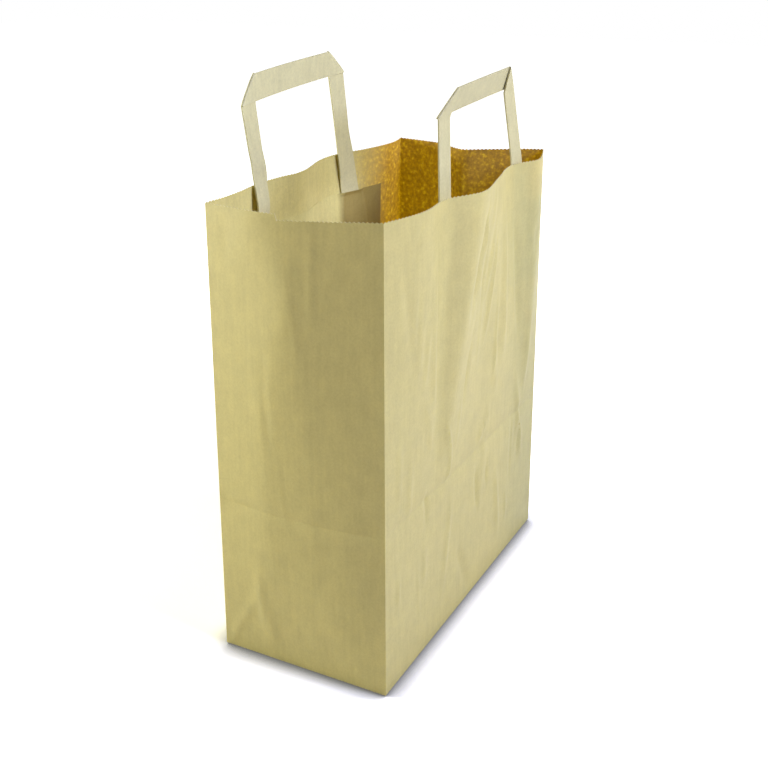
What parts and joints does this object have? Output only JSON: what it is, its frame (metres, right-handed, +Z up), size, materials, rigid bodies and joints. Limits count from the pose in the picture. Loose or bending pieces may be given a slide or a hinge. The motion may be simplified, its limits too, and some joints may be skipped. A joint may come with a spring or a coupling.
{
  "type": "paper carrier bag",
  "caption": "Open-topped brown kraft paper carrier bag with side gussets, a folded block bottom, a saw-tooth cut mouth and flat paper tape handles for carrying goods by hand.",
  "frame": {"origin": "on the floor under the middle of the base, on the underside of the lapped bottom flap", "axes": "+Z up to the mouth, +X along the wide panels, +Y from the front panel to the rear panel"},
  "size_m": [0.2219, 0.1223, 0.3194],
  "materials": {
    "kraft_paper": "matt brown kraft, faint fibres",
    "handle_tape": "matt pale kraft tape, several plies",
    "patch_paper": "matt brown kraft"
  },
  "bodies": {
    "root": {"bag_body": "kraft_paper", "front_handle": "handle_tape", "rear_handle": "handle_tape", "front_patch": "patch_paper", "rear_patch": "patch_paper"}
  },
  "joints": []
}
